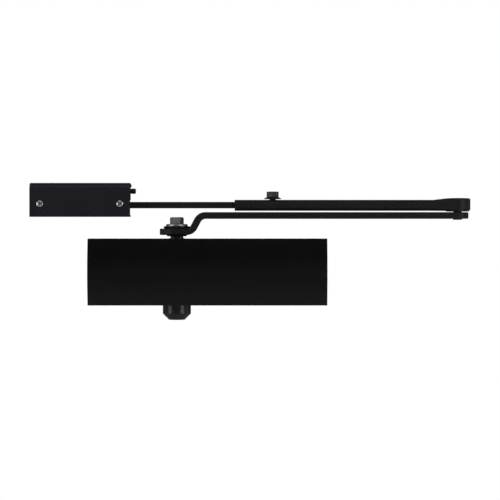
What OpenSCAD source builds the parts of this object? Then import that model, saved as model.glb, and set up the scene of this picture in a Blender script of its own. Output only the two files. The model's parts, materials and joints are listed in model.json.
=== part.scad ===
// Surface-mounted rack-and-pinion door closer with parallel arms and a soffit bracket.
// The origin is the centre of the four door fixing holes on the door face.
// +X runs along the door, +Y points into the door and +Z is up.

/* [Cover] */
// Length of the cover along the door
cover_l = 236; // [235:1:240]
// Height of the cover
cover_h = 66; // [65:0.5:68]
// Depth of the cover's top and bottom edges in front of the door face
cover_d = 46; // [46:0.5:50]
// How far the middle of the cover's front stands out past its edges
cover_bulge = 4; // [3:0.5:6]
// Wall thickness of the cover
cover_wall = 2; // [1.5:0.1:2]

/* [Closer body] */
// Place of the spindle along the door, from the middle of the body
spindle_x = -31.2; // [-34:0.2:-28]
// Depth of the spindle and piston axes in front of the door face
axis_depth = 22; // [22:0.1:22.5]
// Spacing of the door fixing holes along the door
fixing_dx = 180; // [178:1:184]
// Spacing of the door fixing holes up the door
fixing_dz = 50; // [49.6:0.1:50.4]
// Radius of a door fixing hole
fixing_r = 3.25; // [2.75:0.05:3.5]
// Radius of the piston bore
bore_r = 17.5; // [17.4:0.05:17.6]

/* [Spindle] */
// Radius of the spindle where it turns in its bushes
shaft_r = 7.5; // [7.4:0.05:7.5]
// Width across the flats of the spindle's square ends
square_w = 12.5; // [12:0.1:12.6]
// Width across the flats of the hexagon bolt heads
hex_af = 12; // [12:0.5:13]

/* [Arms] */
// Distance from the spindle to the elbow
arm_c = 280.5; // [270:0.5:290]
// Thickness of the main arm
arm_t = 6.3; // [6:0.1:6.4]
// Width of the main arm along its straight run
arm_w = 21.8; // [20:0.2:22]
// Slope of the main arm's S-bend in degrees
bend_slope = 62; // [58:1:64]
// Width of the forearm tube
tube_w = 22; // [21.5:0.1:23]
// Height of the forearm tube
tube_h = 10.6; // [10.4:0.1:10.8]
// Width of the sliding rod
rod_w = 16; // [15:0.5:16.5]
// Thickness of the sliding rod
rod_t = 6; // [5.6:0.1:6]

/* [Soffit bracket] */
// Place of the bracket's pivot along the door
pivot_x = -125.7; // [-127:0.1:-124]
// Length of the bracket cover
bracket_l = 99.2; // [98:0.2:102]
// Height of the bracket from its lower lip to the soffit face
bracket_h = 33.7; // [33.2:0.1:34.2]
// Spacing of the soffit fixing holes along the bracket
soffit_dx = 76; // [74:1:80]
// Spacing of the soffit fixing holes across the bracket
soffit_dy = 20; // [18:1:22]
// Radius of a soffit fixing hole
soffit_r = 2.75; // [2.25:0.05:3]
// Distance between the two screws that hold the bracket cover
cover_screw_dx = 78.8; // [78:0.2:80]

/* [Hidden] */
$fn = 96;

// Gaps: a running fit, and two pieces of one body that only meet
run_gap = 0.05;
gap = 0.05;
// Overshoot of a cut past the face it leaves
over = 1;

// Colours
satin_black = "#18181a";
black_paint = "#222226";
zinc = "#8d8f94";
bright_steel = "#b9bbbf";
cast_alloy = "#a4a6aa";
bronze = "#a98548";
seal_rubber = "#2a2a2a";
nylon = "#3b3b3e";

// Closer body
axis_y = -axis_depth;
body_half = 114;
barrel_r = 21.3;
barrel_back_h = 30;
tower_half = 30;
tower_r = 17;
foot_from = 76;
foot_depth = 12;
block_from = 98;
block_front = 44.5;
block_half = 22;
block_chamfer = 3;
fixing_pocket_r = 5.4;
fixing_pocket_floor = 11;
plug_l = 14;
plug_r = 18.95;
plug_bore_r = 19;
plug_groove_r = 16.95;
plug_groove_w = 2.2;
ring_r = 1;
spindle_bore_r = 13;
bush_r = 12.95;
bush_from = 18.2;
bush_to = 25;
gland_from = 25.05;
gland_groove_at = 27.5;
upper_lip_r = 10;
upper_lip_z = 30.4;
spigot_r = 11;
spigot_to = 36;

// Cover
front_arc_r = (pow(cover_h / 2, 2) + pow(cover_bulge, 2)) / (2 * cover_bulge);
front_arc_y = front_arc_r - cover_d - cover_bulge;
cover_back = -0.5;
collar_notch_r = 9;
cap_notch_r = 11.5;
end_screw_y = -6.5;
end_screw_z = -24;
end_screw_r = 1.35;
end_screw_head_r = 3.3;
end_screw_head_t = 1.6;
end_boss_r = 4.5;

// Valves in the left end face: each a corner of the square round the piston axis
valve_r = 3;
valve_off = 17.3;
valve_bore_l = 17;
valve_l = 15;
valve_access_r = 3.5;
sweep_corner = [-1, 1];
latch_corner = [-1, -1];
backcheck_corner = [1, 1];
valve_corners = [sweep_corner, latch_corner, backcheck_corner];

// Rack and pinion: the piston moves pitch_r for each radian
gear_m = 2;
teeth = 9;
pitch_r = gear_m * teeth / 2;
pressure_angle = 25;
base_r = pitch_r * cos(pressure_angle);
gear_tip_r = 11;
gear_root_r = 7.2;
gear_half_h = 11.5;
rack_half_h = 11;
rack_pitch = PI * gear_m;
rack_addendum = 1.5;
rack_root = 2.25;
backlash = 0.075;
rack_first = -6;
rack_last = 1;

// Piston, measured from the spindle axis at rest
piston_r = bore_r - 0.05;
piston_from = -56.5;
piston_to = 26;
slot_from = -40.5;
slot_to = 12.2;
slot_front = 11.4;
ball_r = 2.5;
ball_seat_at = -46.5;
ball_retainer_at = -52.5;

// Spring: a coil with closed ends between the piston and the right end plug
wire_d = 5;
coil_r = 13.75;
spring_from = spindle_x + piston_to + 0.1;
spring_to = body_half - plug_l - 0.1;
coil_turns = 10;
closed_pitch = wire_d + 0.1;
open_pitch = (spring_to - spring_from - wire_d - 2 * closed_pitch) / (coil_turns - 2);
rings_per_turn = 24;
wire_sides = 8;

// Spindle stack, as heights
gear_end_z = gear_half_h;
collar_z = 33.6;
square_top = 42.4;
square_bottom = -42;
collar_bottom = -31;
arm_boss_z = 35.4;
arm_z = 36.7;
arm_top = arm_z + arm_t;
lock_washer_top = 45.35;
washer_top = 47.6;
lock_washer_r = 13.25;
bolt_head_z = 47.65;
bolt_head_h = 6.8;
bolt_r = 3.98;

// Main arm: S-bend between the head and the straight run
elbow_x = spindle_x + arm_c;
bend_r = 9;
bend_from = spindle_x + 9.2;
arm_rise = 16.3;
bend_straight = (arm_rise - 2 * bend_r * (1 - cos(bend_slope))) / sin(bend_slope);
bend_to = bend_from + 2 * bend_r * sin(bend_slope) + bend_straight * cos(bend_slope);
arm_high_z = arm_z + arm_rise;
head_reach = 16.8;
head_half = 12.5;
head_flat = 5.5;
head_straight_to = 8;
pin_r = 4.25;

// Forearm
tube_z = 61;
tube_from = 26.6;
tube_corner_r = 4.8;
cavity_h = rod_t + 0.3;
cavity_w = rod_w + 0.5;
cavity_z = 63.35;
cavity_to = 222;
elbow_head_r = 12.8;
elbow_head_z = 60.9;
elbow_head_top = 73.3;
flare_from = 224;
bush_out_r = 6.5;
elbow_washer_r = 11.5;
elbow_washer_z = 60.3;
elbow_washer_top = 61.4;
elbow_pocket_z = 69;
elbow_pocket_r = 9.5;
pin_head_r = 7.5;
pin_head_top = 71.2;
clamp_x = 64.5;
clamp_r = 3.9;
clamp_flange_z = 72.65;
clamp_flange_r = 8.6;
clamp_head_z = 74.4;
clamp_head_top = 79.95;

// Rod and pivot
rod_z = cavity_z + 0.15;
rod_top = rod_z + rod_t;
rod_to = 137;
eye_r = 12;
stud_r = 5;
journal_r = 6;
journal_flange_r = 8;

// Bracket
soffit_z = 88.1;
bracket_z = soffit_z - bracket_h;
bracket_front = -46;
bracket_wall = 2;
bracket_round = 6;
lip_w = 8;
plate_t = 3;
plate_back = -2;
plate_front = -43.7;
plate_bend_r = 10;
flange_z = 60;
plate_half = bracket_l / 2 - 2;
block_z = 70.3;
block_top = soffit_z - plate_t;
block_x = 20;
block_y = 11.6;
block_screw_x = 14;
block_screw_y = 8;
block_screw_r = 2.5;
block_screw_head_r = 4.7;
block_screw_head_t = 2.4;
lug_half = 10;
lug_z = 72;
cover_screw_z = 67.2;
cover_screw_r = 2;
cover_screw_head_r = 3.35;
cover_screw_recess_r = 4.3;
friction_z = 80.45;
friction_r = 2.5;
friction_head_r = 2.7;
friction_tip_x = pivot_x + 9.7;
friction_end_x = -72.2;

// Points along an arc, for outlines
function arc(centre, r, from, to, n = 12) =
  [for (i = [0:n]) let (a = from + (to - from) * i / n) centre + r * [cos(a), sin(a)]];
function rounded_rect(lo, hi, r) = concat(
  arc(lo + [r, r], r, 180, 270, 6), arc([hi[0] - r, lo[1] + r], r, 270, 360, 6),
  arc(hi - [r, r], r, 0, 90, 6), arc([lo[0] + r, hi[1] - r], r, 90, 180, 6));

module box(lo, hi) {
  translate(lo) cube(hi - lo);
}
module along_x(from, to, r, y = axis_y, z = 0) {
  translate([from, y, z]) rotate([0, 90, 0]) cylinder(h = to - from, r = r);
}
module cone_x(from, to, r_from, r_to, y, z) {
  translate([from, y, z]) rotate([0, 90, 0]) cylinder(h = to - from, r1 = r_from, r2 = r_to);
}
module along_y(from, to, r, x, z) {
  translate([x, from, z]) rotate([-90, 0, 0]) cylinder(h = to - from, r = r);
}
module along_z(from, to, r, x = spindle_x, y = axis_y) {
  translate([x, y, from]) cylinder(h = to - from, r = r);
}
module cone_z(from, to, r_from, r_to, x = spindle_x, y = axis_y) {
  translate([x, y, from]) cylinder(h = to - from, r1 = r_from, r2 = r_to);
}
// A YZ outline carried along X, an XZ outline carried along Y
module extrude_x(from, to) {
  translate([from, 0, 0]) rotate([90, 0, 90]) linear_extrude(to - from) children();
}
module extrude_y(from, to) {
  translate([0, to, 0]) rotate([90, 0, 0]) linear_extrude(to - from) children();
}
module hexagon_z(from, to, af, x, y, turn = 0) {
  translate([x, y, from]) rotate([0, 0, turn]) cylinder(h = to - from, r = af / 2 / cos(30), $fn = 6);
}
// Hexagon head with its top corners chamfered
module hex_head(from, to, af, x, y, turn = 0) {
  corner_r = af / 2 / cos(30);
  chamfer = 0.8;
  intersection() {
    hexagon_z(from, to, af, x, y, turn);
    translate([x, y, from]) rotate_extrude()
      polygon([[0, -over], [corner_r + over, -over], [corner_r + over, to - from - chamfer - over / 2],
        [corner_r - chamfer * 1.4, to - from], [0, to - from]]);
  }
}

// ---- closer body ----

module fixing_places() {
  for (sx = [-1, 1], sz = [-1, 1]) translate([sx * fixing_dx / 2, 0, sz * fixing_dz / 2]) children();
}

module foot(side) {
  x0 = side * foot_from;
  x1 = side * body_half;
  box([min(x0, x1), -foot_depth, -tower_half], [max(x0, x1), 0, tower_half]);
  boss = cover_l / 2 - cover_wall - gap;
  along_x(min(side * block_from, side * boss), max(side * block_from, side * boss), end_boss_r,
    end_screw_y, end_screw_z);
}

module end_block(side) {
  x0 = side * block_from;
  x1 = side * body_half;
  extrude_x(min(x0, x1), max(x0, x1))
    polygon([[-1, -block_half], [-1, block_half], [block_chamfer - block_front, block_half],
      [-block_front, block_half - block_chamfer], [-block_front, block_chamfer - block_half],
      [block_chamfer - block_front, -block_half]]);
}

module valve_bore(corner) {
  y = axis_y + corner[0] * valve_off;
  z = corner[1] * valve_off;
  bottom = valve_bore_l - body_half;
  along_x(-body_half - over, bottom, valve_r + run_gap, y, z);
  // Oil passage from the foot of the valve bore to the cylinder
  translate([bottom - 1.5, y, z]) rotate([atan2(corner[0], -corner[1]), 0, 0]) cylinder(h = 9, r = 1);
}

module housing() {
  color(cast_alloy)
  difference() {
    union() {
      along_x(-body_half, body_half, barrel_r);
      box([-body_half, -10, -barrel_back_h / 2], [body_half, 0, barrel_back_h / 2]);
      for (side = [-1, 1]) {
        foot(side);
        end_block(side);
      }
      along_z(-tower_half, tower_half, tower_r);
    }
    along_x(-body_half - over, body_half + over, bore_r);
    along_x(-body_half - over, plug_l - body_half, plug_bore_r);
    along_x(body_half - plug_l, body_half + over, plug_bore_r);
    along_z(-tower_half - over, tower_half + over, spindle_bore_r);
    fixing_places() {
      along_y(-foot_depth - over, over, fixing_r, 0, 0);
      along_y(-cover_d - over, -fixing_pocket_floor, fixing_pocket_r, 0, 0);
    }
    for (corner = valve_corners) valve_bore(corner);
    for (side = [-1, 1]) {
      deep = side * (block_from + 6);
      out = side * cover_l / 2;
      along_x(min(deep, out), max(deep, out), end_screw_r + gap, end_screw_y, end_screw_z);
    }
  }
}

module cover_form(inset, back) {
  intersection() {
    box([inset - cover_l / 2, -cover_d - 2 * cover_bulge, inset - cover_h / 2],
      [cover_l / 2 - inset, back, cover_h / 2 - inset]);
    along_x(-cover_l, cover_l, front_arc_r - inset, front_arc_y, 0);
  }
}

module cover() {
  color(satin_black)
  difference() {
    cover_form(0, cover_back);
    cover_form(cover_wall, over);
    // Slots open at the back, so the cover goes on over the spindle and the cap's spigot
    along_z(cover_h / 2 - 2 * cover_wall, cover_h / 2 + over, collar_notch_r);
    box([spindle_x - collar_notch_r, axis_y, cover_h / 2 - 2 * cover_wall],
      [spindle_x + collar_notch_r, over, cover_h / 2 + over]);
    along_z(-cover_h / 2 - over, 2 * cover_wall - cover_h / 2, cap_notch_r);
    box([spindle_x - cap_notch_r, axis_y, -cover_h / 2 - over],
      [spindle_x + cap_notch_r, over, 2 * cover_wall - cover_h / 2]);
    for (side = [-1, 1]) end_screw(side, gap);
    for (corner = valve_corners)
      along_x(-cover_l / 2 - over, 2 * cover_wall - cover_l / 2, valve_access_r,
        axis_y + corner[0] * valve_off, corner[1] * valve_off);
  }
}

// Countersunk screw in an end wall of the cover, or the hole for it when grown
module end_screw(side, grow) {
  mirror([side < 0 ? 1 : 0, 0, 0]) {
    face = cover_l / 2;
    cone_x(face - end_screw_head_t, face, end_screw_r + grow, end_screw_head_r + grow,
      end_screw_y, end_screw_z);
    along_x(face - 10, face - end_screw_head_t / 2, end_screw_r + grow, end_screw_y, end_screw_z);
  }
}

module cover_screws() {
  slot_w = 0.9;
  slot_d = 0.7;
  color(bright_steel)
  for (side = [-1, 1]) difference() {
    end_screw(side, 0);
    translate([side * cover_l / 2, end_screw_y, end_screw_z]) cube([2 * slot_d, slot_w, 9], center = true);
  }
}

module end_plug(side) {
  socket_af = 10;
  socket_d = 7;
  groove_at = plug_l - 4;
  outer = side * body_half;
  translate([outer, axis_y, 0]) rotate([0, -90 * side, 0]) difference() {
    rotate_extrude()
      polygon([[0, 0], [plug_r - 1, 0], [plug_r, 1], [plug_r, groove_at - plug_groove_w / 2],
        [plug_groove_r, groove_at - plug_groove_w / 2], [plug_groove_r, groove_at + plug_groove_w / 2],
        [plug_r, groove_at + plug_groove_w / 2], [plug_r, plug_l], [0, plug_l]]);
    translate([0, 0, -over]) cylinder(h = socket_d + over, r = socket_af / 2 / cos(30), $fn = 6);
  }
}

module left_end_plug() {
  color(zinc) end_plug(-1);
}

module right_end_plug() {
  color(zinc) end_plug(1);
}

module end_plug_seals() {
  at = body_half - plug_l + 4;
  color(seal_rubber)
  for (side = [-1, 1]) translate([side * at, axis_y, 0]) rotate([0, 90, 0])
    rotate_extrude() translate([plug_groove_r + ring_r + 0.02, 0]) circle(r = ring_r);
}

module bush() {
  difference() {
    along_z(bush_from, bush_to, bush_r);
    along_z(bush_from - over, bush_to + over, shaft_r + run_gap);
  }
}

module upper_bush() {
  color(bronze) bush();
}

module lower_bush() {
  color(bronze) mirror([0, 0, 1]) bush();
}

// Screwed ring that closes the spindle bore, with a groove for the shaft seal.
// The lip is the part that stands out of the housing.
module gland(lip_r, lip_z) {
  groove_half = ring_r + 0.1;
  key_r = 1.2;
  difference() {
    union() {
      along_z(gland_from, tower_half, bush_r);
      along_z(tower_half - over, lip_z, lip_r);
    }
    along_z(gland_from - over, lip_z + over, shaft_r + 2 * run_gap);
    along_z(gland_groove_at - groove_half, gland_groove_at + groove_half,
      shaft_r + 2 * ring_r + 0.1);
    for (side = [-1, 1]) along_z(tower_half - 2, tower_half + over, key_r,
      spindle_x + side * (bush_r + lip_r) / 2);
  }
}

module upper_gland() {
  color(zinc) gland(upper_lip_r, upper_lip_z);
}

module lower_gland() {
  color(zinc) mirror([0, 0, 1]) gland(spigot_r, spigot_to);
}

module spindle_seals() {
  color(seal_rubber)
  for (side = [-1, 1]) translate([spindle_x, axis_y, side * gland_groove_at])
    rotate_extrude() translate([shaft_r + run_gap + ring_r, 0]) circle(r = ring_r - 0.01);
}

// Cap over the spindle end that isn't in use, pushed onto the lower gland's spigot
module pinion_cap() {
  cap_r = 14;
  top = -cover_h / 2;
  shoulder = -41.2;
  shoulder_r = 1.6;
  nose_r = 8;
  nose_round = 1;
  bottom = -47.95;
  rim = top - 3.9;
  color(satin_black)
  translate([spindle_x, axis_y, 0]) rotate_extrude()
    polygon(concat([[spigot_r + gap, top], [cap_r, top]],
      arc([cap_r - shoulder_r, shoulder], shoulder_r, 0, -45, 5),
      arc([nose_r - nose_round / 2, bottom + nose_round], nose_round, -45, -90, 4),
      [[0, bottom], [0, bottom + 2.6], [nose_r - 1, bottom + 2.6], [9.4, shoulder],
        [9.4, rim], [spigot_r + gap, rim]]));
}

// Axial travel of the coil after n turns: closed first and last turns
function coil_x(n) = spring_from + wire_d / 2 + closed_pitch * min(n, 1)
  + open_pitch * min(max(n - 1, 0), coil_turns - 2) + closed_pitch * max(n - coil_turns + 1, 0);

module closer_spring() {
  rings = coil_turns * rings_per_turn;
  points = [for (i = [0:rings], j = [0:wire_sides - 1])
    let (turn = 360 * i / rings_per_turn, side = 360 * j / wire_sides,
      r = coil_r + wire_d / 2 * cos(side))
    [coil_x(i / rings_per_turn) + wire_d / 2 * sin(side), axis_y + r * cos(turn), r * sin(turn)]];
  walls = [for (i = [0:rings - 1], j = [0:wire_sides - 1])
    let (k = (j + 1) % wire_sides)
    [i * wire_sides + j, i * wire_sides + k, (i + 1) * wire_sides + k, (i + 1) * wire_sides + j]];
  first_end = [for (j = [wire_sides - 1:-1:0]) j];
  last_end = [for (j = [0:wire_sides - 1]) rings * wire_sides + j];
  color(bright_steel) polyhedron(points, concat(walls, [first_end, last_end]));
}

// ---- spindle and main arm ----

// Half of a tooth's angle at radius r on the involute
function involute(a) = tan(a) - a * PI / 180;
function half_tooth(r) = 90 / teeth - backlash / 2 / pitch_r * 180 / PI
  + (involute(pressure_angle) - involute(acos(base_r / r))) * 180 / PI;
function polar(r, a) = [r * cos(a), r * sin(a)];

module gear_outline() {
  steps = 5;
  radii = [for (i = [0:steps]) base_r + (gear_tip_r - base_r) * i / steps];
  polygon([for (t = [0:teeth - 1]) let (mid = 90 + 360 * t / teeth) each concat(
    [polar(gear_root_r, mid - half_tooth(base_r))],
    [for (r = radii) polar(r, mid - half_tooth(r))],
    [for (i = [steps:-1:0]) polar(radii[i], mid + half_tooth(radii[i]))],
    [polar(gear_root_r, mid + half_tooth(base_r))])]);
}

// Square shank with its corners turned down to the shaft's size
module square_end(from, to) {
  intersection() {
    box([spindle_x - square_w / 2, axis_y - square_w / 2, from],
      [spindle_x + square_w / 2, axis_y + square_w / 2, to]);
    along_z(from, to, shaft_r);
  }
}

module pinion_spindle() {
  hole_bottom = 25;
  color(zinc)
  difference() {
    union() {
      translate([spindle_x, axis_y, -gear_half_h]) linear_extrude(2 * gear_half_h) gear_outline();
      along_z(gear_end_z, collar_z, shaft_r);
      along_z(collar_bottom, -gear_end_z, shaft_r);
      square_end(collar_z, square_top);
      square_end(square_bottom, collar_bottom);
    }
    along_z(hole_bottom, square_top + over, bolt_r + gap);
  }
}

// Side view of the main arm: head, S-bend and straight run at one thickness
module arm_side() {
  mid_low = arm_z + arm_t / 2;
  mid_high = mid_low + arm_rise;
  low_c = [bend_from, mid_low + bend_r];
  high_c = [bend_to, mid_high - bend_r];
  out_r = bend_r + arm_t / 2;
  in_r = bend_r - arm_t / 2;
  far_left = spindle_x - head_reach - over;
  far_right = elbow_x + arm_w / 2 + over;
  polygon(concat([[far_left, arm_z]], arc(low_c, out_r, -90, bend_slope - 90),
    arc(high_c, in_r, 90 + bend_slope, 90),
    [[far_right, arm_high_z], [far_right, arm_high_z + arm_t]],
    arc(high_c, out_r, 90, 90 + bend_slope), arc(low_c, in_r, bend_slope - 90, -90),
    [[far_left, arm_top]]));
}

// Plan of the main arm: octagonal head, straight run and round elbow end
module arm_plan() {
  half = arm_w / 2;
  polygon(concat([[-head_reach, head_flat], [-head_reach, -head_flat], [-head_flat, -head_half],
    [head_straight_to, -head_half], [head_straight_to + 12, -half]],
    arc([arm_c, 0], half, -90, 90, 24),
    [[head_straight_to + 12, half], [head_straight_to, head_half], [-head_flat, head_half]]));
}

module main_arm() {
  boss_r = 9.95;
  color(black_paint)
  difference() {
    union() {
      intersection() {
        extrude_y(axis_y - 2 * head_half, axis_y + 2 * head_half) arm_side();
        translate([spindle_x, axis_y, 0]) linear_extrude(2 * arm_high_z) arm_plan();
      }
      along_z(arm_boss_z, arm_z + over, boss_r);
    }
    box([spindle_x - square_w / 2 - gap, axis_y - square_w / 2 - gap, arm_boss_z - over],
      [spindle_x + square_w / 2 + gap, axis_y + square_w / 2 + gap, arm_top + over]);
    // Flat seat for the lock washer, milled straight across the foot of the bend
    box([spindle_x, axis_y - 2 * head_half, arm_top],
      [spindle_x + lock_washer_r + 0.25, axis_y + 2 * head_half, bolt_head_z]);
    along_z(arm_high_z - over, arm_high_z + arm_t + over, pin_r, elbow_x);
  }
}

// Washer whose rim slopes in towards its lower face
module dished_washer(from, to, r_low, r_top, rim) {
  difference() {
    union() {
      cone_z(from, to - rim, r_low, r_top);
      along_z(to - rim, to, r_top);
    }
    along_z(from - over, to + over, bolt_r + 0.3);
  }
}

module arm_lock_washer() {
  color(black_paint) dished_washer(arm_top + gap, lock_washer_top, 12.6, lock_washer_r, 0.9);
}

module arm_washer() {
  rim_r = 10.8;
  chamfer = 0.5;
  color(zinc)
  difference() {
    union() {
      along_z(lock_washer_top + gap, washer_top - chamfer, rim_r);
      cone_z(washer_top - chamfer, washer_top, rim_r, rim_r - chamfer);
    }
    along_z(lock_washer_top, washer_top + over, bolt_r + 0.3);
  }
}

module arm_bolt() {
  thread_l = 19.5;
  color(zinc) {
    hex_head(bolt_head_z, bolt_head_z + bolt_head_h, hex_af, spindle_x, axis_y);
    along_z(bolt_head_z - thread_l, bolt_head_z + over, bolt_r);
  }
}

// Pin riveted into the main arm, its upper head held inside the forearm
module elbow_pin() {
  rivet_r = 4.5;
  rivet_h = 1.1;
  arm_gap = 0.03;
  color(black_paint) {
    along_z(arm_high_z - rivet_h, arm_high_z - arm_gap, rivet_r, elbow_x);
    along_z(arm_high_z - rivet_h / 2, pin_head_top - 1, pin_r - arm_gap, elbow_x);
    cone_z(elbow_pocket_z + 0.1, pin_head_top, pin_head_r, pin_head_r - 1, elbow_x);
  }
}

// ---- piston ----

module rack_outline() {
  line_y = pitch_r + rack_root;
  half = rack_pitch / 4 - backlash / 4;
  tip_half = half - rack_addendum * tan(pressure_angle);
  root_half = half + rack_root * tan(pressure_angle);
  into_wall = 0.5;
  polygon(concat([[slot_from, line_y + into_wall], [slot_from, line_y]],
    [for (n = [rack_first:rack_last]) let (c = (n + 0.5) * rack_pitch)
      each [[c - root_half, line_y], [c - tip_half, pitch_r - rack_addendum],
        [c + tip_half, pitch_r - rack_addendum], [c + root_half, line_y]]],
    [[slot_to, line_y], [slot_to, line_y + into_wall]]));
}

module piston() {
  port_r = 1.3;
  spring_seat_r = 10;
  spring_seat_d = 8;
  nose = 1;
  color(zinc)
  difference() {
    union() {
      difference() {
        union() {
          cone_x(spindle_x + piston_from, spindle_x + piston_from + nose, piston_r - nose, piston_r,
            axis_y, 0);
          along_x(spindle_x + piston_from + nose, spindle_x + piston_to, piston_r);
        }
        box([spindle_x + slot_from, axis_y - slot_front, -2 * piston_r],
          [spindle_x + slot_to, axis_y + pitch_r + rack_root, 2 * piston_r]);
      }
      translate([spindle_x, axis_y, -rack_half_h]) linear_extrude(2 * rack_half_h) rack_outline();
    }
    along_x(spindle_x + piston_from - over, spindle_x + ball_seat_at, ball_r + run_gap);
    along_x(spindle_x + ball_seat_at - over, spindle_x + slot_from + over, port_r);
    along_x(spindle_x + piston_to - spring_seat_d, spindle_x + piston_to + over, spring_seat_r);
  }
}

module valve_ball_retainer() {
  key_af = 2.5;
  color(bronze)
  difference() {
    along_x(spindle_x + piston_from + 0.2, spindle_x + ball_retainer_at, ball_r + 0.02);
    translate([spindle_x + piston_from - over, axis_y, 0]) rotate([0, 90, 0])
      cylinder(h = 2 * over - piston_from, r = key_af / 2 / cos(30), $fn = 6);
  }
}

module check_ball() {
  color(bright_steel)
  translate([spindle_x + ball_seat_at - ball_r - run_gap, axis_y, 0]) sphere(r = ball_r);
}

// ---- valves ----

// Needle screw with a hexagon key socket and a groove for its ring seal
module valve(corner) {
  ring_at = 7;
  groove_r = 2;
  groove_half = 0.7;
  key_af = 2.5;
  needle_l = 3;
  translate([-body_half, axis_y + corner[0] * valve_off, corner[1] * valve_off]) rotate([0, 90, 0])
  difference() {
    rotate_extrude()
      polygon([[0, 0.3], [valve_r - 0.5, 0.3], [valve_r, 0.8], [valve_r, ring_at - groove_half],
        [groove_r, ring_at - groove_half], [groove_r, ring_at + groove_half],
        [valve_r, ring_at + groove_half], [valve_r, valve_l - needle_l], [0.5, valve_l], [0, valve_l]]);
    translate([0, 0, -over]) cylinder(h = 4 + over, r = key_af / 2 / cos(30), $fn = 6);
  }
}

module valve_seal(corner) {
  ring_at = 7;
  section_r = 0.48;
  translate([ring_at - body_half, axis_y + corner[0] * valve_off, corner[1] * valve_off])
    rotate([0, 90, 0]) rotate_extrude() translate([2.5, 0]) circle(r = section_r);
}

module sweep_valve() {
  color(bronze) valve(sweep_corner);
}

module latch_valve() {
  color(bronze) valve(latch_corner);
}

module backcheck_valve() {
  color(bronze) valve(backcheck_corner);
}

module sweep_valve_seal() {
  color(seal_rubber) valve_seal(sweep_corner);
}

module latch_valve_seal() {
  color(seal_rubber) valve_seal(latch_corner);
}

module backcheck_valve_seal() {
  color(seal_rubber) valve_seal(backcheck_corner);
}

// ---- forearm ----

// Blend from the tube's end into the round eye
module elbow_head() {
  half = tube_w / 2;
  edge = 1.5;
  blend_fn = 48;
  hull() {
    extrude_x(flare_from, flare_from + 0.5)
      polygon(rounded_rect([axis_y - half, tube_z], [axis_y + half, tube_z + tube_h], tube_corner_r));
    translate([elbow_x, axis_y, 0]) rotate_extrude($fn = blend_fn)
      polygon(concat([[0, elbow_head_top], [0, elbow_head_z]],
        arc([elbow_head_r - edge, elbow_head_z + edge], edge, -90, 0, 6),
        arc([elbow_head_r - edge, elbow_head_top - edge], edge, 0, 90, 6)));
  }
}

module forearm_tube() {
  half = tube_w / 2;
  color(black_paint)
  difference() {
    union() {
      extrude_x(tube_from, flare_from)
        polygon(rounded_rect([axis_y - half, tube_z], [axis_y + half, tube_z + tube_h], tube_corner_r));
      elbow_head();
    }
    box([tube_from - over, axis_y - cavity_w / 2, cavity_z],
      [cavity_to - over, axis_y + cavity_w / 2, cavity_z + cavity_h]);
    along_z(cavity_z + over, clamp_flange_z, clamp_r + run_gap, clamp_x);
    along_z(elbow_head_z - over, elbow_head_top, bush_out_r + gap, elbow_x);
    along_z(elbow_head_z - over, elbow_washer_top + gap, elbow_washer_r + gap, elbow_x);
    along_z(elbow_pocket_z, elbow_head_top + over, elbow_pocket_r, elbow_x);
  }
}

module elbow_bush() {
  color(bronze)
  difference() {
    along_z(elbow_washer_top + 2 * gap, elbow_pocket_z, bush_out_r, elbow_x);
    along_z(elbow_washer_z, elbow_pocket_z + over, pin_r + run_gap, elbow_x);
  }
}

module elbow_washer() {
  color(nylon)
  difference() {
    along_z(elbow_washer_z, elbow_washer_top, elbow_washer_r, elbow_x);
    along_z(elbow_washer_z - over, elbow_washer_top + over, pin_r + run_gap, elbow_x);
  }
}

// Push-in dust cap over the elbow pin's head
module elbow_cap() {
  skirt = 0.9;
  color(satin_black)
  difference() {
    cone_z(elbow_pocket_z + gap, elbow_head_top - 0.1, elbow_pocket_r - 0.15, elbow_pocket_r - gap,
      elbow_x);
    along_z(elbow_pocket_z - over, pin_head_top + 0.6, elbow_pocket_r - 0.15 - skirt, elbow_x);
  }
}

module clamp_bolt() {
  neck_r = 3.2;
  neck_z = 71;
  color(black_paint) {
    along_z(rod_top + run_gap, neck_z, clamp_r, clamp_x);
    along_z(neck_z - over, clamp_head_z, neck_r, clamp_x);
    along_z(clamp_flange_z, clamp_flange_z + 0.5, clamp_flange_r, clamp_x);
    cone_z(clamp_flange_z + 0.5, clamp_head_z + 0.2, clamp_flange_r, hex_af / 2, clamp_x);
    hex_head(clamp_head_z, clamp_head_top, hex_af, clamp_x, axis_y, 30);
  }
}

// ---- rod and its pivot ----

module forearm_rod() {
  color(black_paint)
  difference() {
    union() {
      box([pivot_x, axis_y - rod_w / 2, rod_z], [rod_to, axis_y + rod_w / 2, rod_top]);
      along_z(rod_z, rod_top, eye_r, pivot_x);
    }
    along_z(rod_z - over, rod_top + over, stud_r + gap, pivot_x);
  }
}

// Journal that turns in the bracket's block, with a stud down through the rod's eye
module pivot_spindle() {
  nut_stud_r = 3.9;
  stud_bottom = 56;
  color(zinc) {
    along_z(rod_top + gap, block_top - 1, journal_r, pivot_x);
    along_z(block_top - 1.45, block_top - 0.1, journal_flange_r, pivot_x);
    along_z(rod_z, rod_top + 2 * gap, stud_r, pivot_x);
    along_z(stud_bottom, rod_z + gap, nut_stud_r, pivot_x);
  }
}

module pivot_washer() {
  washer_r = 11;
  color(nylon)
  difference() {
    along_z(rod_top + gap, block_z - gap, washer_r, pivot_x);
    along_z(rod_top - over, block_z + over, journal_r + gap, pivot_x);
  }
}

module pivot_nut() {
  nut_h = 6.3;
  color(zinc)
  difference() {
    hexagon_z(rod_z - gap - nut_h, rod_z - gap, hex_af + 1, pivot_x, axis_y);
    along_z(rod_z - nut_h - over, rod_z + over, 3.95, pivot_x);
  }
}

// ---- soffit bracket ----

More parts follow.
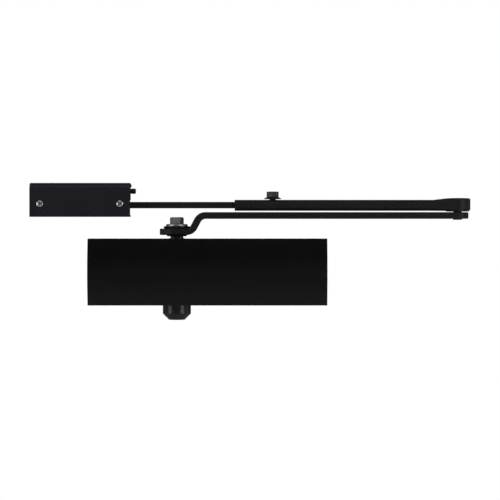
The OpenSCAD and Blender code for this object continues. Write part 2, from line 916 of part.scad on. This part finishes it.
module bracket_plate() {
  bend = [plate_front + plate_bend_r, soffit_z - plate_bend_r];
  x1 = pivot_x + plate_half;
  color(zinc)
  difference() {
    union() {
      extrude_x(pivot_x - plate_half, x1)
        polygon(concat([[plate_back, block_top], [plate_back, soffit_z]],
          arc(bend, plate_bend_r, 90, 180), [[plate_front, flange_z], [plate_front + plate_t, flange_z]],
          arc(bend, plate_bend_r - plate_t, 180, 90)));
      box([x1 - plate_t, axis_y - lug_half, lug_z], [x1, axis_y + lug_half, block_top + over]);
    }
    for (sx = [-1, 1], sy = [-1, 1]) {
      along_z(block_top - over, soffit_z + over, soffit_r, pivot_x + sx * soffit_dx / 2,
        axis_y + sy * soffit_dy / 2);
      block_screw(sx, sy, gap);
    }
    for (sx = [-1, 1]) along_y(plate_front - over, plate_front + plate_t + over, cover_screw_r + gap,
      pivot_x + sx * cover_screw_dx / 2, cover_screw_z);
    along_x(x1 - plate_t - over, x1 + over, friction_r + 2 * run_gap, axis_y, friction_z);
  }
}

module bracket_cover() {
  back = bracket_front + bracket_round;
  top = soffit_z - 0.1;
  bend = [back, top - bracket_round];
  inner = bracket_front + bracket_wall;
  color(black_paint)
  difference() {
    extrude_x(pivot_x - bracket_l / 2, pivot_x + bracket_l / 2)
      polygon(concat(arc(bend, bracket_round, 90, 180),
        [[bracket_front, bracket_z], [bracket_front + lip_w, bracket_z],
          [bracket_front + lip_w, bracket_z + bracket_wall], [inner, bracket_z + bracket_wall]],
        arc(bend, bracket_round - bracket_wall, 180, 90)));
    for (sx = [-1, 1]) {
      x = pivot_x + sx * cover_screw_dx / 2;
      along_y(bracket_front - over, bracket_front + 1, cover_screw_recess_r, x, cover_screw_z);
      along_y(bracket_front, inner + over, cover_screw_r + 0.2, x, cover_screw_z);
    }
  }
}

// Countersunk screw up through the plate, or the hole for it when grown
module block_screw(sx, sy, grow) {
  x = pivot_x + sx * block_screw_x;
  y = axis_y + sy * block_screw_y;
  cone_z(soffit_z - block_screw_head_t, soffit_z, block_screw_r + grow, block_screw_head_r + grow, x, y);
  along_z(block_z + 4, soffit_z - block_screw_head_t / 2, block_screw_r + grow, x, y);
}

module block_screws() {
  key_r = 1.6;
  color(bright_steel)
  for (sx = [-1, 1], sy = [-1, 1]) difference() {
    block_screw(sx, sy, 0);
    hexagon_z(soffit_z - 2, soffit_z + over, 2 * key_r, pivot_x + sx * block_screw_x,
      axis_y + sy * block_screw_y);
  }
}

module pivot_block() {
  color(cast_alloy)
  difference() {
    box([pivot_x - block_x, axis_y - block_y, block_z], [pivot_x + block_x, axis_y + block_y, block_top]);
    along_z(block_z - over, block_top, journal_r + run_gap, pivot_x);
    along_z(block_top - 1.5, block_top + over, journal_flange_r + 0.1, pivot_x);
    along_x(pivot_x + journal_r - 2, pivot_x + block_x + over, friction_r + run_gap, axis_y, friction_z);
    for (sx = [-1, 1], sy = [-1, 1]) block_screw(sx, sy, gap);
  }
}

// The two bright screws: low domed heads with a cross recess
module bracket_cover_screws() {
  head_h = 1.5;
  recess_d = 1.1;
  arm_l = 3.8;
  arm_wide = 1;
  seat = bracket_front + 1 - gap;
  tip = plate_front + plate_t + 1.5;
  color(bright_steel)
  for (sx = [-1, 1]) translate([pivot_x + sx * cover_screw_dx / 2, 0, cover_screw_z]) difference() {
    union() {
      translate([0, seat, 0]) rotate([90, 0, 0]) rotate_extrude()
        polygon([[0, 0], [cover_screw_head_r, 0], [cover_screw_head_r, head_h - 0.9],
          [cover_screw_head_r - 0.3, head_h - 0.45], [cover_screw_head_r - 1, head_h - 0.15],
          [cover_screw_head_r - 2, head_h], [0, head_h]]);
      along_y(seat - 0.5, tip, cover_screw_r, 0, 0);
    }
    for (turn = [0, 90]) translate([0, seat - head_h, 0]) rotate([0, turn, 0])
      cube([arm_l, 2 * recess_d, arm_wide], center = true);
  }
}

module friction_pad() {
  color(bronze)
  along_x(pivot_x + journal_r + run_gap, friction_tip_x - run_gap, friction_r, axis_y, friction_z);
}

// Adjusting screw with a rounded head that stands out of the bracket's right end
module friction_screw() {
  head_x = pivot_x + bracket_l / 2 + 0.1;
  round_r = 1.2;
  key_af = 2.5;
  head_l = friction_end_x - head_x;
  color(satin_black)
  difference() {
    union() {
      along_x(friction_tip_x, head_x + over, friction_r, axis_y, friction_z);
      translate([head_x, axis_y, friction_z]) rotate([0, 90, 0]) rotate_extrude()
        polygon(concat([[0, 0], [friction_head_r, 0]],
          arc([friction_head_r - round_r, head_l - round_r], round_r, 0, 90, 6), [[0, head_l]]));
    }
    translate([friction_end_x - 2, axis_y, friction_z]) rotate([0, 90, 0])
      cylinder(h = 3, r = key_af / 2 / cos(30), $fn = 6);
  }
}

housing();
cover();
cover_screws();
left_end_plug();
right_end_plug();
end_plug_seals();
upper_bush();
lower_bush();
upper_gland();
lower_gland();
spindle_seals();
pinion_cap();
closer_spring();
pinion_spindle();
main_arm();
arm_lock_washer();
arm_washer();
arm_bolt();
elbow_pin();
piston();
valve_ball_retainer();
check_ball();
sweep_valve();
latch_valve();
backcheck_valve();
sweep_valve_seal();
latch_valve_seal();
backcheck_valve_seal();
forearm_tube();
elbow_bush();
elbow_washer();
elbow_cap();
clamp_bolt();
forearm_rod();
pivot_spindle();
pivot_washer();
pivot_nut();
bracket_plate();
bracket_cover();
pivot_block();
block_screws();
bracket_cover_screws();
friction_pad();
friction_screw();
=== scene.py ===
"""Looks of the door closer: rounded edges, materials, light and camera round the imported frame."""

import json
import math

import bmesh
import bpy
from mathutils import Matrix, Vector


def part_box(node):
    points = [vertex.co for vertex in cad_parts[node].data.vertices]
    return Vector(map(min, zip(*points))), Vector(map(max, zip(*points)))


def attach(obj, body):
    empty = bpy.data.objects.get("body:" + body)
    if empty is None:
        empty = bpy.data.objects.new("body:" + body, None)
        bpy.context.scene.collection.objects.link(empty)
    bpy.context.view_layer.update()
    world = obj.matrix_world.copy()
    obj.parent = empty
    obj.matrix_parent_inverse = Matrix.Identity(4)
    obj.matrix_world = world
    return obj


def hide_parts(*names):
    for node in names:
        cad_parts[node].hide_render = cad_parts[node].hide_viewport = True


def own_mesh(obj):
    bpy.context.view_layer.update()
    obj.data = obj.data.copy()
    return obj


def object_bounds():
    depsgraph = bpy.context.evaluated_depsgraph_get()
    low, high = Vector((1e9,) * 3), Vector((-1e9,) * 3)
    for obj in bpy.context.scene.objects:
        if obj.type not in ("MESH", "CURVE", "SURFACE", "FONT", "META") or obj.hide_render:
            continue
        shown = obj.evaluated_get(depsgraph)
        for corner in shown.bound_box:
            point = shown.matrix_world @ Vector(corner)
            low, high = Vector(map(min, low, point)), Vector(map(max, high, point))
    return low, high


MM = 0.001

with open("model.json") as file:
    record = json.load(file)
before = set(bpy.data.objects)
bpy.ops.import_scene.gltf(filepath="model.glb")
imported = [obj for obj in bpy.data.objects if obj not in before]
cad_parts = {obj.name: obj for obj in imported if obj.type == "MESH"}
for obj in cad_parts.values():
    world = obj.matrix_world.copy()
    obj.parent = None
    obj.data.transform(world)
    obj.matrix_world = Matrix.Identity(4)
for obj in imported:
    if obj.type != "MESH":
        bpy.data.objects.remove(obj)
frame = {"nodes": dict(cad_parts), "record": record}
cad_low, cad_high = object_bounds()
nodes = frame["nodes"]
slot_of = {part["node"]: part["material_slot"] for part in frame["record"]["subparts"]}
scene = bpy.context.scene


def middle(node):
    """Centre of a CAD node's box."""
    low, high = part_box(node)
    return (low + high) / 2


# ---------------------------------------------------------------- materials


class Finish:
    """A node material grown round one Principled shader, in the object's own coordinates."""

    def __init__(self, name, colour, roughness, metallic=0.0, **constants):
        self.material = bpy.data.materials.new(name)
        self.material.use_nodes = True
        self.tree = self.material.node_tree
        self.shader = self.tree.nodes["Principled BSDF"]
        self.colour = colour
        self.set("Base Color", (*colour, 1))
        self.set("Roughness", roughness)
        self.set("Metallic", metallic)
        for socket, value in constants.items():
            self.set(socket.replace("_", " ").title().replace("Ior", "IOR"), value)
        self.place = self.tree.nodes.new("ShaderNodeTexCoord").outputs["Object"]

    def set(self, socket, value):
        self.shader.inputs[socket].default_value = value

    def link(self, output, socket):
        self.tree.links.new(output, socket)

    def noise(self, size, detail=2.0, stretch=(1, 1, 1), contrast=0.0):
        """Cloudy pattern with features about size metres across, longer where stretch is over 1."""
        mapping = self.tree.nodes.new("ShaderNodeMapping")
        mapping.inputs["Scale"].default_value = [1 / along for along in stretch]
        texture = self.tree.nodes.new("ShaderNodeTexNoise")
        texture.inputs["Scale"].default_value = 1 / size
        texture.inputs["Detail"].default_value = detail
        self.link(self.place, mapping.inputs["Vector"])
        self.link(mapping.outputs["Vector"], texture.inputs["Vector"])
        return self.between(texture.outputs["Fac"], 0, 1, contrast)

    def cells(self, size, smooth=0.4):
        """Rounded grains about size metres across."""
        texture = self.tree.nodes.new("ShaderNodeTexVoronoi")
        texture.feature = "SMOOTH_F1"
        texture.inputs["Scale"].default_value = 1 / size
        texture.inputs["Smoothness"].default_value = smooth
        self.link(self.place, texture.inputs["Vector"])
        return texture.outputs["Distance"]

    def between(self, factor, low, high, contrast=0.0):
        """A factor spread from low to high, with its middle range widened by contrast."""
        spread = self.tree.nodes.new("ShaderNodeMapRange")
        spread.inputs["From Min"].default_value = contrast / 2
        spread.inputs["From Max"].default_value = 1 - contrast / 2
        spread.inputs["To Min"].default_value = low
        spread.inputs["To Max"].default_value = high
        self.link(factor, spread.inputs["Value"])
        return spread.outputs["Result"]

    def tint(self, factor, dark, light):
        """Base colour from dark to light by the factor."""
        ramp = self.tree.nodes.new("ShaderNodeValToRGB")
        ramp.color_ramp.elements[0].color = (*dark, 1)
        ramp.color_ramp.elements[1].color = (*light, 1)
        self.link(factor, ramp.inputs["Fac"])
        self.link(ramp.outputs["Color"], self.shader.inputs["Base Color"])

    def shade(self, factor, amount):
        """Base colour a share lighter and darker than the finish's own."""
        dark = [channel * (1 - amount) for channel in self.colour]
        light = [channel * (1 + amount) for channel in self.colour]
        self.tint(factor, dark, light)

    def gloss(self, factor, low, high):
        self.link(self.between(factor, low, high), self.shader.inputs["Roughness"])

    def relief(self, height, depth):
        """Raises the surface by up to depth metres where height is 1, on top of any earlier relief."""
        bump = self.tree.nodes.new("ShaderNodeBump")
        bump.inputs["Strength"].default_value = 1
        bump.inputs["Distance"].default_value = depth
        earlier = self.shader.inputs["Normal"].links
        if earlier:
            self.link(earlier[0].from_socket, bump.inputs["Normal"])
        self.link(height, bump.inputs["Height"])
        self.link(bump.outputs["Normal"], self.shader.inputs["Normal"])


def powder_coat(name, colour, roughness, specular, peel, depth):
    """Black powder coat: fine grain and orange peel of the given size over faint broad patches."""
    grain = 0.35 * MM
    gloss_spread = 0.03
    finish = Finish(name, colour, roughness, specular_ior_level=specular)
    finish.shade(finish.noise(35 * MM, detail=3, contrast=0.4), amount=0.12)
    finish.gloss(finish.noise(9 * MM, detail=2), roughness - gloss_spread, roughness + gloss_spread)
    finish.relief(finish.noise(peel, detail=1.5), depth)
    finish.relief(finish.cells(grain), depth / 5)
    return finish


def satin_black_cover():
    return powder_coat("satin_black_cover", (0.0046, 0.0044, 0.0045), roughness=0.30, specular=0.33,
                       peel=1.6 * MM, depth=0.005 * MM)


def black_arm():
    finish = powder_coat("black_arm", (0.0146, 0.0146, 0.0168), roughness=0.50, specular=0.22,
                         peel=1.2 * MM, depth=0.008 * MM)
    finish.relief(finish.noise(6 * MM, detail=2, stretch=(6, 1, 1)), 0.05 * MM)
    return finish


def black_bracket():
    return powder_coat("black_bracket", (0.0168, 0.0176, 0.0240), roughness=0.45, specular=0.28,
                       peel=1.4 * MM, depth=0.008 * MM)


def black_washer():
    finish = powder_coat("black_washer", (0.014, 0.014, 0.015), roughness=0.40, specular=0.4,
                         peel=1.0 * MM, depth=0.006 * MM)
    finish.set("Metallic", 0.3)
    return finish


def black_bolt():
    """Black oxide steel: a thin dark film over machined metal."""
    finish = Finish("black_bolt", (0.036, 0.036, 0.041), roughness=0.44, metallic=0.8)
    finish.shade(finish.noise(4 * MM, detail=4, contrast=0.3), amount=0.25)
    finish.gloss(finish.noise(2 * MM, detail=4), 0.32, 0.50)
    finish.relief(finish.noise(0.4 * MM, detail=3), 0.006 * MM)
    return finish


def plated(name, cool, warm, rough_low, rough_high):
    """Zinc plate: the tint wanders between a cool and a warm grey, over fine drawing marks."""
    finish = Finish(name, cool, rough_low, metallic=1.0)
    finish.tint(finish.noise(7 * MM, detail=3, contrast=0.5), cool, warm)
    finish.gloss(finish.noise(1.5 * MM, detail=4, contrast=0.3), rough_low, rough_high)
    finish.relief(finish.noise(0.25 * MM, detail=2, stretch=(1, 1, 8)), 0.003 * MM)
    finish.relief(finish.noise(1.8 * MM, detail=2), 0.010 * MM)
    return finish


def dark_zinc():
    return plated("dark_zinc", cool=(0.40, 0.38, 0.385), warm=(0.54, 0.515, 0.51),
                  rough_low=0.42, rough_high=0.54)


def bright_steel():
    return plated("bright_steel", cool=(0.58, 0.58, 0.60), warm=(0.70, 0.68, 0.66),
                  rough_low=0.22, rough_high=0.36)


def zinc_steel():
    return plated("zinc_steel", cool=(0.50, 0.52, 0.55), warm=(0.58, 0.56, 0.50),
                  rough_low=0.26, rough_high=0.40)


def ground_steel():
    finish = Finish("ground_steel", (0.56, 0.56, 0.58), roughness=0.24, metallic=1.0)
    finish.gloss(finish.noise(0.5 * MM, detail=3, stretch=(1, 10, 10)), 0.16, 0.32)
    finish.shade(finish.noise(12 * MM, detail=3, contrast=0.4), amount=0.08)
    finish.relief(finish.noise(0.15 * MM, detail=2, stretch=(1, 12, 12)), 0.002 * MM)
    return finish


def spindle_steel():
    """Hardened steel with its heat-treatment colour left on."""
    finish = Finish("spindle_steel", (0.10, 0.10, 0.11), roughness=0.36, metallic=0.9)
    finish.tint(finish.noise(8 * MM, detail=3, contrast=0.5), (0.055, 0.056, 0.065), (0.12, 0.11, 0.105))
    finish.gloss(finish.noise(2 * MM, detail=3), 0.30, 0.44)
    finish.relief(finish.noise(0.3 * MM, detail=2, stretch=(6, 6, 1)), 0.004 * MM)
    return finish


def spring_steel():
    finish = Finish("spring_steel", (0.16, 0.15, 0.145), roughness=0.34, metallic=1.0,
                    coat_weight=0.4, coat_roughness=0.15)
    finish.shade(finish.noise(5 * MM, detail=4, contrast=0.4), amount=0.30)
    finish.gloss(finish.noise(2 * MM, detail=3), 0.28, 0.44)
    finish.relief(finish.noise(0.6 * MM, detail=3), 0.008 * MM)
    return finish


def bronze():
    finish = Finish("bronze", (0.52, 0.34, 0.16), roughness=0.30, metallic=1.0)
    finish.tint(finish.noise(6 * MM, detail=3, contrast=0.4), (0.44, 0.28, 0.13), (0.60, 0.41, 0.20))
    finish.gloss(finish.noise(1.5 * MM, detail=3), 0.24, 0.40)
    finish.relief(finish.noise(0.3 * MM, detail=2), 0.004 * MM)
    return finish


def cast_alloy():
    """Die-cast aluminium alloy: grainy skin over a slow swell, darker in patches."""
    finish = Finish("cast_alloy", (0.50, 0.51, 0.53), roughness=0.52, metallic=0.9)
    finish.tint(finish.noise(16 * MM, detail=5, contrast=0.4), (0.40, 0.41, 0.43), (0.56, 0.57, 0.58))
    finish.gloss(finish.noise(4 * MM, detail=4), 0.44, 0.62)
    finish.relief(finish.noise(9 * MM, detail=2), 0.12 * MM)
    finish.relief(finish.cells(0.9 * MM), 0.045 * MM)
    finish.relief(finish.noise(0.4 * MM, detail=3), 0.02 * MM)
    return finish


def moulded(name, colour, roughness, grain, depth):
    """Moulded black plastic or rubber with a spark-eroded grain."""
    finish = Finish(name, colour, roughness, ior=1.5)
    finish.shade(finish.noise(14 * MM, detail=3, contrast=0.4), amount=0.10)
    finish.gloss(finish.noise(5 * MM, detail=3), roughness - 0.04, roughness + 0.05)
    finish.relief(finish.noise(grain, detail=2), depth)
    return finish


def cap_plastic():
    return moulded("cap_plastic", (0.0085, 0.0090, 0.0090), roughness=0.34,
                   grain=0.35 * MM, depth=0.006 * MM)


def nylon():
    return moulded("nylon", (0.022, 0.022, 0.024), roughness=0.48,
                   grain=0.5 * MM, depth=0.006 * MM)


def seal_rubber():
    return moulded("seal_rubber", (0.018, 0.018, 0.018), roughness=0.62,
                   grain=0.3 * MM, depth=0.010 * MM)


FINISHES = [satin_black_cover, black_arm, black_bracket, black_washer, black_bolt, dark_zinc,
            bright_steel, zinc_steel, ground_steel, spindle_steel, spring_steel, bronze,
            cast_alloy, cap_plastic, nylon, seal_rubber]
finishes = {make.__name__: make().material for make in FINISHES}


# ---------------------------------------------------------------- CAD nodes

# Edge radius: the default, the nodes with a softer one, and the nodes with a finer one
EDGE = 0.13 * MM
SOFT_EDGES = {"main_arm": 0.7 * MM, "forearm_rod": 0.5 * MM, "pivot_block": 0.5 * MM,
              "cover": 0.35 * MM, "bracket_plate": 0.35 * MM, "bracket_cover": 0.3 * MM,
              "forearm_tube": 0.3 * MM, "housing": 0.3 * MM, "elbow_cap": 0.3 * MM}
FINE_EDGES = {"sweep_valve", "latch_valve", "backcheck_valve", "check_ball", "valve_ball_retainer",
              "friction_pad", "friction_screw", "cover_screws", "block_screws",
              "bracket_cover_screws", "elbow_bush"}
FINE_EDGE = 0.1 * MM
EDGE_SEGMENTS = 2
JOINED_WITHIN = 0.005 * MM
FLAT_WITHIN = math.radians(1)
EDGE_OVER = math.radians(24)


def smooth_faces_group():
    """Node group that joins split corners and marks every face and edge smooth."""
    group = bpy.data.node_groups.new("smooth_faces", "GeometryNodeTree")
    group.interface.new_socket("Geometry", in_out="INPUT", socket_type="NodeSocketGeometry")
    group.interface.new_socket("Geometry", in_out="OUTPUT", socket_type="NodeSocketGeometry")
    last = group.nodes.new("NodeGroupInput").outputs["Geometry"]
    merge = group.nodes.new("GeometryNodeMergeByDistance")
    merge.inputs["Distance"].default_value = JOINED_WITHIN
    faces = group.nodes.new("GeometryNodeSetShadeSmooth")
    edges = group.nodes.new("GeometryNodeSetShadeSmooth")
    edges.domain = "EDGE"
    for step in (merge, faces, edges):
        group.links.new(last, step.inputs["Geometry"])
        last = step.outputs["Geometry"]
    group.links.new(last, group.nodes.new("NodeGroupOutput").inputs["Geometry"])
    return group


def round_edges(node, width, group):
    """Merges flat triangles into whole faces and rolls the sharp edges, by modifiers alone."""
    smooth = node.modifiers.new("smooth_faces", "NODES")
    smooth.node_group = group
    flat = node.modifiers.new("whole_faces", "DECIMATE")
    flat.decimate_type = "DISSOLVE"
    flat.angle_limit = FLAT_WITHIN
    bevel = node.modifiers.new("rolled_edges", "BEVEL")
    bevel.width = width
    bevel.segments = EDGE_SEGMENTS
    bevel.limit_method = "ANGLE"
    bevel.angle_limit = EDGE_OVER
    bevel.use_clamp_overlap = False
    node.modifiers.new("even_shading", "WEIGHTED_NORMAL")


smooth_faces = smooth_faces_group()
for name, node in nodes.items():
    node.material_slots[0].material = finishes[slot_of[name]]
    round_edges(node, FINE_EDGE if name in FINE_EDGES else SOFT_EDGES.get(name, EDGE), smooth_faces)


# ---------------------------------------------------------------- closer spring


def new_piece(name, bm, slot, body):
    """Mesh object from bm, smooth, with a slot's finish, riding on a body."""
    mesh = bpy.data.meshes.new(name)
    bm.normal_update()
    bm.to_mesh(mesh)
    bm.free()
    mesh.shade_smooth()
    piece = bpy.data.objects.new(name, mesh)
    scene.collection.objects.link(piece)
    mesh.materials.append(finishes[slot])
    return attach(piece, body)


def sweep(bm, rings):
    """Closed skin over rings of points, each ring with the same number of points, with flat ends."""
    loops = [[bm.verts.new(point) for point in ring] for ring in rings]
    count = len(loops[0])
    for low, high in zip(loops, loops[1:]):
        for i in range(count):
            j = (i + 1) % count
            bm.faces.new((low[i], low[j], high[j], high[i]))
    bm.faces.new(list(reversed(loops[0])))
    bm.faces.new(loops[-1])
    bmesh.ops.recalc_face_normals(bm, faces=bm.faces)


def coil_spring():
    """The closer spring as a smooth coil with closed ends, in place of its faceted CAD solid."""
    wire = 5 * MM
    turns = 10
    steps_per_turn = 48
    sides = 16
    closed_pitch = wire + 0.1 * MM
    low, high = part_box("closer_spring")
    centre = middle("closer_spring")
    radius = (high.z - low.z - wire) / 2
    start = low.x + wire / 2
    run = high.x - low.x - wire
    open_turns = turns - 2
    open_pitch = (run - 2 * closed_pitch) / open_turns

    def along(turn):
        """Distance along the spring after a number of turns: the first and last are closed."""
        opened = min(max(turn - 1, 0), open_turns)
        return (turn - opened) * closed_pitch + opened * open_pitch

    axis = Vector((1, 0, 0))
    around = [2 * math.pi * side / sides for side in range(sides)]
    rings = []
    for step in range(turns * steps_per_turn + 1):
        turn = step / steps_per_turn
        angle = 2 * math.pi * turn
        out = Vector((0, math.cos(angle), math.sin(angle)))
        hub = Vector((start + along(turn), centre.y, centre.z)) + out * radius
        rings.append([hub + wire / 2 * (math.cos(a) * out + math.sin(a) * axis) for a in around])
    bm = bmesh.new()
    sweep(bm, rings)
    spring = new_piece("closer_spring_coil", bm, "spring_steel", "closer_body")
    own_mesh(spring)
    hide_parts("closer_spring")


coil_spring()


# ---------------------------------------------------------------- camera, light and floor

CAMERA_DISTANCE = 1.5
PICTURE_WIDTH = 0.5
SENSOR = 36
AIM_OFFSET = Vector((-1.5, 0, 1.6)) * MM


def make_camera():
    """Level camera square to the door, aimed just above and left of the object's centre."""
    aim = (cad_low + cad_high) / 2 + AIM_OFFSET
    aim.y = middle("pinion_spindle").y
    data = bpy.data.cameras.new("camera")
    data.sensor_width = SENSOR
    data.lens = SENSOR * CAMERA_DISTANCE / PICTURE_WIDTH
    camera = bpy.data.objects.new("camera", data)
    scene.collection.objects.link(camera)
    camera.location = aim - Vector((0, CAMERA_DISTANCE, 0))
    camera.rotation_euler = (math.radians(90), 0, 0)
    scene.camera = camera
    return aim


def softbox(name, aim, azimuth, elevation, distance, width, height, radiance):
    """Area light facing the object; azimuth 0 is beside the camera and grows to the right."""
    a, e = math.radians(azimuth), math.radians(elevation)
    back = Vector((math.sin(a) * math.cos(e), -math.cos(a) * math.cos(e), math.sin(e)))
    data = bpy.data.lights.new(name, "AREA")
    data.shape = "RECTANGLE"
    data.size = width
    data.size_y = height
    data.energy = radiance * math.pi * width * height
    light = bpy.data.objects.new(name, data)
    scene.collection.objects.link(light)
    light.location = aim + back * distance
    light.rotation_mode = "QUATERNION"
    light.rotation_quaternion = back.to_track_quat("Z", "Y")
    light.visible_camera = False


def white_backdrop(ambient):
    """World that is plain white to the camera and a dim grey to everything else."""
    world = bpy.data.worlds.new("studio")
    world.use_nodes = True
    scene.world = world
    tree = world.node_tree
    light = tree.nodes["Background"]
    light.inputs["Color"].default_value = (ambient, ambient, ambient, 1)
    seen = tree.nodes.new("ShaderNodeBackground")
    seen.inputs["Color"].default_value = (1, 1, 1, 1)
    path = tree.nodes.new("ShaderNodeLightPath")
    mix = tree.nodes.new("ShaderNodeMixShader")
    tree.links.new(path.outputs["Is Camera Ray"], mix.inputs["Fac"])
    tree.links.new(light.outputs["Background"], mix.inputs[1])
    tree.links.new(seen.outputs["Background"], mix.inputs[2])
    tree.links.new(mix.outputs["Shader"], tree.nodes["World Output"].inputs["Surface"])


def pale_floor(aim):
    """Plain pale floor under the object, white to the camera from above and clear from below."""
    reach = 3.0
    drop = 0.24
    material = bpy.data.materials.new("pale_floor")
    material.use_nodes = True
    tree = material.node_tree
    tree.nodes.remove(tree.nodes["Principled BSDF"])
    matt = tree.nodes.new("ShaderNodeBsdfDiffuse")
    matt.inputs["Color"].default_value = (0.85, 0.85, 0.85, 1)
    white = tree.nodes.new("ShaderNodeEmission")
    white.inputs["Strength"].default_value = 1
    clear = tree.nodes.new("ShaderNodeBsdfTransparent")
    path = tree.nodes.new("ShaderNodeLightPath")
    side = tree.nodes.new("ShaderNodeNewGeometry")
    above = tree.nodes.new("ShaderNodeMixShader")
    either = tree.nodes.new("ShaderNodeMixShader")
    tree.links.new(path.outputs["Is Camera Ray"], above.inputs["Fac"])
    tree.links.new(matt.outputs["BSDF"], above.inputs[1])
    tree.links.new(white.outputs["Emission"], above.inputs[2])
    tree.links.new(side.outputs["Backfacing"], either.inputs["Fac"])
    tree.links.new(above.outputs["Shader"], either.inputs[1])
    tree.links.new(clear.outputs["BSDF"], either.inputs[2])
    tree.links.new(either.outputs["Shader"], tree.nodes["Material Output"].inputs["Surface"])
    bm = bmesh.new()
    bmesh.ops.create_grid(bm, x_segments=1, y_segments=1, size=reach)
    mesh = bpy.data.meshes.new("floor")
    bm.to_mesh(mesh)
    bm.free()
    floor = bpy.data.objects.new("floor", mesh)
    scene.collection.objects.link(floor)
    floor.location = (aim.x, aim.y, cad_low.z - drop)
    mesh.materials.append(material)


aim = make_camera()
white_backdrop(ambient=0.012)
pale_floor(aim)
softbox("front_card", aim, azimuth=0, elevation=-2, distance=1.7,
        width=0.9, height=0.25, radiance=0.24)
softbox("left_softbox", aim, azimuth=-58, elevation=4, distance=1.3,
        width=0.35, height=0.8, radiance=4.0)
softbox("left_side_softbox", aim, azimuth=-110, elevation=4, distance=1.3,
        width=0.8, height=0.8, radiance=0.22)
softbox("right_softbox", aim, azimuth=47, elevation=4, distance=1.3,
        width=0.25, height=0.8, radiance=6.4)
softbox("right_side_softbox", aim, azimuth=100, elevation=4, distance=1.3,
        width=0.8, height=0.8, radiance=0.45)
softbox("front_top_softbox", aim, azimuth=0, elevation=54, distance=1.4,
        width=1.8, height=0.5, radiance=1.3)
softbox("rear_softbox", aim, azimuth=180, elevation=40, distance=1.4,
        width=1.6, height=0.8, radiance=0.9)
scene.view_settings.view_transform = "Standard"
